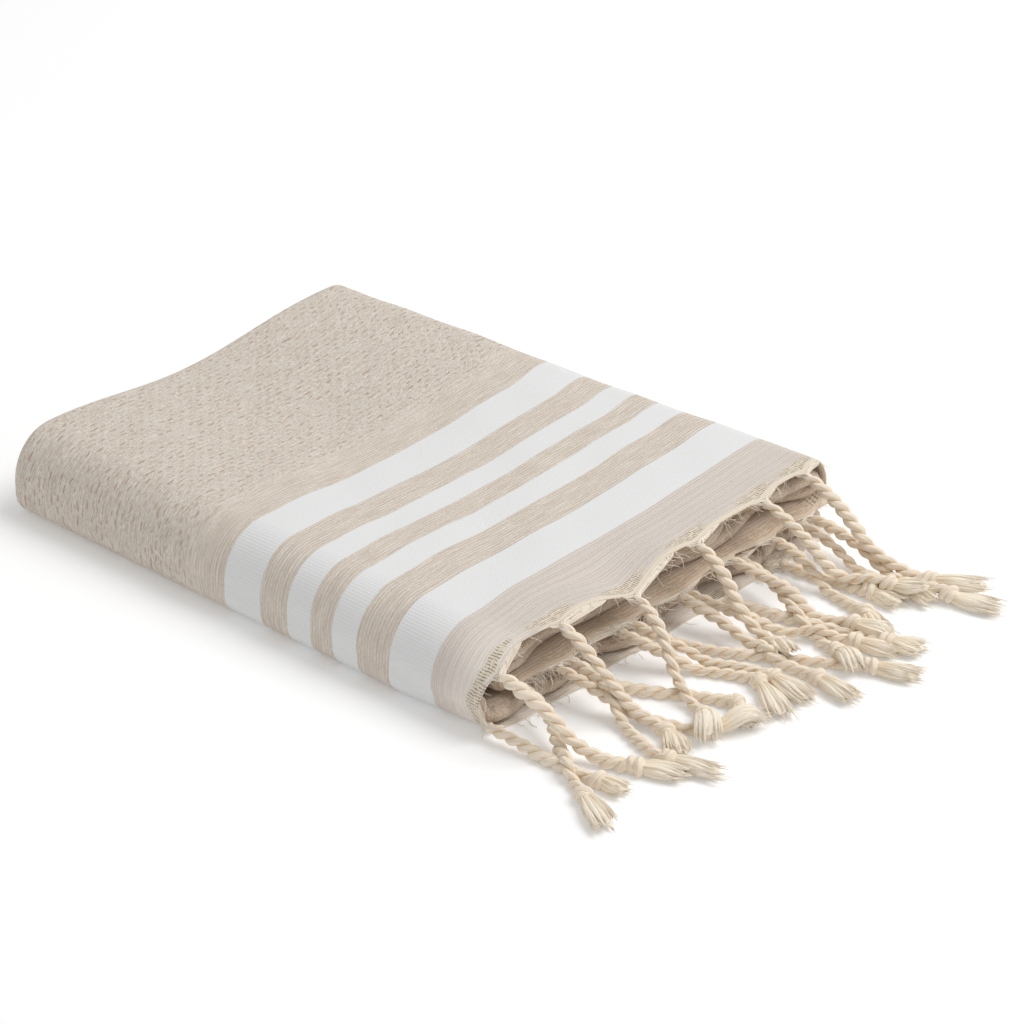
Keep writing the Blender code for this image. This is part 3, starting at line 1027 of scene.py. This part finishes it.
BEIGE_LIGHT = srgb(236, 227, 216)
BEIGE_DARK = srgb(206, 193, 178)
END_LIGHT = srgb(225, 215, 206)
END_DARK = srgb(207, 196, 186)
END_PAINTED_LIGHT = srgb(252, 243, 233)
WHITE_LIGHT = srgb(233, 233, 232)
WHITE_DARK = srgb(219, 220, 219)
FLOAT_BROWN = srgb(190, 156, 126)
SLUB = srgb(243, 236, 227)
SHADE = srgb(201, 180, 158)
RIB_SHADE = srgb(204, 187, 170)
HEADING_CREAM = srgb(240, 226, 203)
SLIT_PAINTED_SHADE = srgb(150, 125, 98)
INSIDE_PAINTED_SHADE = srgb(216, 188, 161)

ROW_PITCH = 0.0036  # of the floats
FLOAT_PITCH = 0.0074
RIB_PITCH = 0.0019
END_RIB_PITCH = 0.00135
SLIT_PITCH = 0.0013
TWILL_PITCH = 0.00125
SATIN_PITCH = 0.00140
WARP_PITCH = 0.00078
WEFT_PITCH = 0.00066
CLOTH_RELIEF = 0.00035

# Each of these weaves its part of the cloth, and gives the colour and the part's own height.


def crepe_field(s, u, v, beige, in_field):
    """Short slubs, lighter and darker, and staggered brown floats among them."""
    slub = s.spots(u, 1500.0, v, 400.0, 7.0, 2.0, 0.7)
    crepe = s.times(in_field, 0.70)
    field = s.mix(s.times(s.ramp(slub, 0.50, 0.66), crepe), beige, SLUB)
    field = s.mix(s.times(s.ramp(slub, 0.47, 0.33), crepe), field, SHADE)
    bent_u = s.scaled(s.spots(u, 130.0, v, 110.0), 0.0042, u)
    bent_v = s.scaled(s.spots(v, 120.0, u, 190.0), 0.0110, v)
    row_place = s.math("DIVIDE", bent_u, ROW_PITCH)
    row = s.math("FLOOR", row_place)
    shifted = s.scaled(s.math("MODULO", row, 2.0), 0.5, s.math("DIVIDE", bent_v, FLOAT_PITCH))
    wander = s.random(row, s.math("FLOOR", shifted))
    rough_edge = s.spots(u, 1500.0, v, 700.0, 2.0)
    narrow = s.scaled(rough_edge, 0.20, s.off_middle(row_place))
    short = s.scaled(rough_edge, 0.26, s.off_middle(shifted))
    mark = s.times(s.ramp(narrow, 0.27, 0.17), s.ramp(short, 0.41, 0.30))
    strength = s.scaled(s.ramp(wander, 0.05, 1.0), 0.60, 0.20)
    floats = s.times(s.times(mark, strength), in_field)
    height = s.minus(s.times(s.times(slub, 2.6), in_field), floats)
    return s.mix(floats, field, FLOAT_BROWN), height


def rib_bands(s, uneven_u, edge_u, field, beige):
    """Ribs of thicker weft in the beige stripes."""
    ribs = s.wave(uneven_u, RIB_PITCH)
    between = s.mix(s.times(s.ramp(ribs, 0.60, 0.10), 0.55), beige, RIB_SHADE)
    banded = s.ramp(edge_u, RIBS_END, RIBS_FADE)
    return s.mix(s.times(banded, 0.9), field, between), s.times(s.times(ribs, 0.6), banded)


def plain_end(s, u, v, uneven_u, grain, inside, at_end, field):
    """Long fine lines between the fringe and the first white stripe, and painted light that pales
    the band where the top rounds down into the side and below.
    """
    lines = s.spots(u, 1000.0, v, 4.0, 1.0, 1.0, 0.5)
    ribs = s.times(s.wave(uneven_u, END_RIB_PITCH), s.scaled(inside, -0.30, 0.38))
    grain = s.plus(grain, ribs)
    grain = s.scaled(s.ramp(lines, 0.36, 0.62), s.scaled(inside, -0.15, 0.15), grain)
    beige = s.mix(s.ramp(grain, 0.35, 1.05), END_DARK, END_LIGHT)
    # Painted light: near the fringe the band is paler from the top's front end on round the side.
    painted_light = s.times(s.ramp(v, TOP_END - 0.012, TOP_END + 0.018), s.ramp(u, 0.040, 0.012))
    beige = s.mix(s.times(painted_light, 0.75), beige, END_PAINTED_LIGHT)
    return s.mix(at_end, field, beige), s.times(ribs, at_end)


def open_heading(s, u, v, field):
    """Beside the tassels the warp shows between small slits, whose gaps are dark with painted
    shade.
    """
    patchy = s.spots(v, 260.0, u, 260.0, 4.0, 1.0)
    heading = s.ramp(s.times(s.attribute("open"), s.scaled(patchy, 1.0, 0.5)), 0.12, 0.75)
    hem = s.ramp(u, 0.0050, 0.0020)
    field = s.mix(s.times(s.math("MAXIMUM", heading, hem), 0.75), field, HEADING_CREAM)
    slit_phase = s.scaled(s.spots(u, 200.0, v, 200.0), 0.0016, v)
    slit_break = s.ramp(s.spots(u, 620.0, v, 300.0, 6.0), 0.34, 0.56)
    slits = s.times(s.ramp(s.wave(slit_phase, SLIT_PITCH), 0.50, 0.95), slit_break)
    slits = s.times(slits, s.ramp(heading, 0.15, 0.7))
    # The slits get painted shade, for the gaps between the warp.
    return s.mix(s.times(slits, 0.85), field, SLIT_PAINTED_SHADE), s.times(slits, -0.8)


def satin(s, u, v, fine):
    """The white stripes' weave, with its fine twill line."""
    twill = s.wave(s.plus(u, v), TWILL_PITCH)
    warp_line = s.wave(s.scaled(fine, 0.0004, v), SATIN_PITCH)
    shade = s.scaled(fine, 0.45, s.times(warp_line, 0.4))
    height = s.scaled(twill, 0.10, s.times(fine, 0.35))
    height = s.plus(s.scaled(warp_line, 0.22, height), 0.9)
    return s.mix(s.scaled(twill, 0.15, shade), WHITE_DARK, WHITE_LIGHT), height


def in_white(s, edge_u):
    """One in the white stripes, and nothing between them."""
    white = 0.0
    for stripe in WHITE_STRIPES:
        middle = (stripe.start + stripe.end) / 2
        in_stripe = s.math("COMPARE", edge_u, middle, (stripe.end - stripe.start) / 2)
        white = s.math("MAXIMUM", white, in_stripe)
    return white


def cloth_material():
    s = Shader("striped_cotton", 0.85, 0.15)
    u, v = s.uv("design")
    jag = s.spots(u, 900.0, v, 1400.0)
    edge_u = s.scaled(jag, EDGE_JAG, s.minus(u, EDGE_JAG / 2))
    in_field = s.ramp(edge_u, FIELD_START, FIELD_FULL)
    at_end = s.ramp(edge_u, WHITE_STRIPES[0].start + 0.001, WHITE_STRIPES[0].start)
    white = in_white(s, edge_u)
    inside = s.math("MAXIMUM", s.ramp(u, OUTER_END + 0.020, OUTER_END + 0.040),
                    s.ramp(v, TOP_START - 0.010, TOP_START - 0.022))

    # Streaks of heathered weft, long and thin along v, which don't show inside the roll.
    streak = s.spots(u, 1250.0, v, 60.0, 0.0, 3.0, 0.6)
    fine = s.spots(u, 2300.0, v, 520.0, 3.0, 2.0, 0.6)
    plain = s.spots(u, 1900.0, v, 900.0, 9.0, 2.0, 0.6)
    both = s.scaled(fine, 0.40, s.times(streak, 0.60))
    both = s.scaled(s.minus(plain, both), inside, both)
    grain = s.scaled(s.minus(plain, fine), inside, fine)
    beige = s.mix(s.ramp(both, 0.38, 0.62), BEIGE_DARK, BEIGE_LIGHT)

    uneven = s.spots(u, 300.0, v, 30.0, 5.0)
    field, field_height = crepe_field(s, u, v, beige, in_field)
    field, rib_height = rib_bands(s, s.scaled(uneven, 0.0008, u), edge_u, field, beige)
    end_u = s.scaled(uneven, 0.0010, u)
    field, end_height = plain_end(s, u, v, end_u, grain, inside, at_end, field)
    field, slit_height = open_heading(s, u, v, field)
    # Painted shade inside the roll: the inner layers are darkened and warmed, as the light there is
    # tinted by the cloth.
    field = s.mix(s.times(inside, 0.50), field, INSIDE_PAINTED_SHADE)
    stripe, stripe_height = satin(s, u, v, fine)
    s.colour(s.mix(white, field, stripe))

    weave = s.math("ABSOLUTE", s.minus(s.wave(v, WARP_PITCH), s.wave(u, WEFT_PITCH)))
    height = s.scaled(weave, 0.30, s.times(both, s.scaled(at_end, -1.2, 1.8)))
    for part in (field_height, rib_height, end_height, slit_height):
        height = s.plus(height, part)
    flip = s.minus(1.0, white)
    s.bump(s.plus(s.times(height, flip), s.times(stripe_height, white)), CLOTH_RELIEF)
    return s.material


CORD_LIGHT = srgb(242, 229, 210)
CORD_DARK = srgb(240, 223, 200)
CORD_GROOVE_SHADE = srgb(234, 207, 174)
BRUSH_LIGHT = srgb(246, 234, 214)
BRUSH_DARK = srgb(236, 217, 188)
BRUSH_TIP = srgb(240, 231, 216)
WARP_LIGHT = srgb(238, 229, 215)
WARP_DARK = srgb(216, 202, 184)


def yarn_material():
    """For the cords: each ply is several yarns, laid round it at a slant."""
    s = Shader("cream_yarn", 0.9, 0.1)
    turn, along = s.uv("strand")
    slant = s.scaled(turn, 5.0, s.math("DIVIDE", along, 0.011))
    yarns = s.wave(slant, 1.0)
    fibre = s.spots(slant, 5.0, along, 400.0, s.attribute("tint"), 3.0)
    depth = s.ramp(yarns, 0.0, 0.7)
    shade = s.scaled(depth, 0.30, s.times(fibre, 0.70))
    shade = s.scaled(s.attribute("tint"), 0.25, s.minus(shade, 0.1))
    face = s.mix(s.ramp(shade, 0.1, 0.8), CORD_DARK, CORD_LIGHT)
    # Painted shade: the grooves between the two plies are tinted tan.
    s.colour(s.mix(s.times(s.attribute("groove_shade"), 0.75), face, CORD_GROOVE_SHADE))
    s.bump(s.scaled(fibre, 1.4, s.times(depth, 0.8)), 0.00024)
    return s.material


def loose_material(name, dark, light, tip):
    """For loose yarns: fine lines run along each of them, and they pale towards their tips."""
    s = Shader(name, 0.95, 0.1)
    turn, along = s.uv("strand")
    fibre = s.spots(turn, 46.0, along, 90.0, s.attribute("tint"), 3.0, 0.7)
    shade = s.scaled(s.attribute("tint"), 0.30, s.times(fibre, 0.70))
    yarn = s.mix(s.ramp(shade, 0.20, 0.78), dark, light)
    s.colour(s.mix(s.times(s.ramp(along, 0.004, 0.018), 0.7), yarn, tip))
    return s.material


# ---------------- stage, light and camera

CAMERA_AZIMUTH = math.radians(41.85)
CAMERA_ELEVATION = math.radians(29.46)
CAMERA_DISTANCE = 2.0
CAMERA_TARGET = Vector((0.0495, 0.0225, 0.02))
CAMERA_LENS = 138.7
FLOOR_REACH = 6.0
FLOOR_GREY = 0.86
FLOOR_GLOW = 0.16
SKY_STRENGTH = 0.56
KEY_PLACE = Vector((1.1, 1.3, 2.6))
KEY_TARGET = Vector((0.05, 0.0, 0.0))
KEY_SIZE = 2.4
KEY_POWER = 62.0


def make_stage():
    mesh = bpy.data.meshes.new("floor")
    reach = FLOOR_REACH
    corners = [(-reach, -reach, 0), (reach, -reach, 0), (reach, reach, 0), (-reach, reach, 0)]
    mesh.from_pydata(corners, [], [(0, 1, 2, 3)])
    s = Shader("pale_floor", 0.9, 0.0)
    s.colour((FLOOR_GREY, FLOOR_GREY, FLOOR_GREY, 1.0))
    s.principled.inputs["Emission Color"].default_value = (1.0, 1.0, 1.0, 1.0)
    s.principled.inputs["Emission Strength"].default_value = FLOOR_GLOW
    mesh.materials.append(s.material)
    put_in_scene("floor", mesh)


def put_facing(name, data, place, target):
    """A lamp or a camera at this place, turned to the target."""
    thing = put_in_scene(name, data)
    thing.location = place
    thing.rotation_euler = (target - place).to_track_quat("-Z", "Y").to_euler()
    return thing


def make_lights():
    world = bpy.data.worlds.new("studio")
    world.use_nodes = True
    background = world.node_tree.nodes["Background"]
    background.inputs["Color"].default_value = (1.0, 1.0, 1.0, 1.0)
    background.inputs["Strength"].default_value = SKY_STRENGTH
    bpy.context.scene.world = world
    light = bpy.data.lights.new("key", "AREA")
    light.shape = "DISK"
    light.size = KEY_SIZE
    light.energy = KEY_POWER
    put_facing("key", light, KEY_PLACE, KEY_TARGET)
    bpy.context.scene.view_settings.view_transform = "Standard"


def make_camera():
    camera = bpy.data.cameras.new("camera")
    camera.lens = CAMERA_LENS
    camera.clip_start = 0.05
    camera.clip_end = 50.0
    flat = math.cos(CAMERA_ELEVATION)
    back = Vector((math.sin(CAMERA_AZIMUTH) * flat, -math.cos(CAMERA_AZIMUTH) * flat,
                   math.sin(CAMERA_ELEVATION)))
    place = CAMERA_TARGET + CAMERA_DISTANCE * back
    bpy.context.scene.camera = put_facing("camera", camera, place, CAMERA_TARGET)


# ---------------- the scene

make_camera()
make_lights()
make_stage()

cloth = make_cloth()
cloth.data.materials.append(cloth_material())
cords, brushes, yarns = make_fringe()
cords.data.materials.append(yarn_material())
brushes.data.materials.append(loose_material("combed_yarn", BRUSH_DARK, BRUSH_LIGHT, BRUSH_TIP))
yarns.data.materials.append(loose_material("gathered_warp", WARP_DARK, WARP_LIGHT, WARP_LIGHT))

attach(cloth, "root")
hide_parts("cloth")
for piece in (cords, brushes, yarns):
    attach(piece, "root")
    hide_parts("fringe")
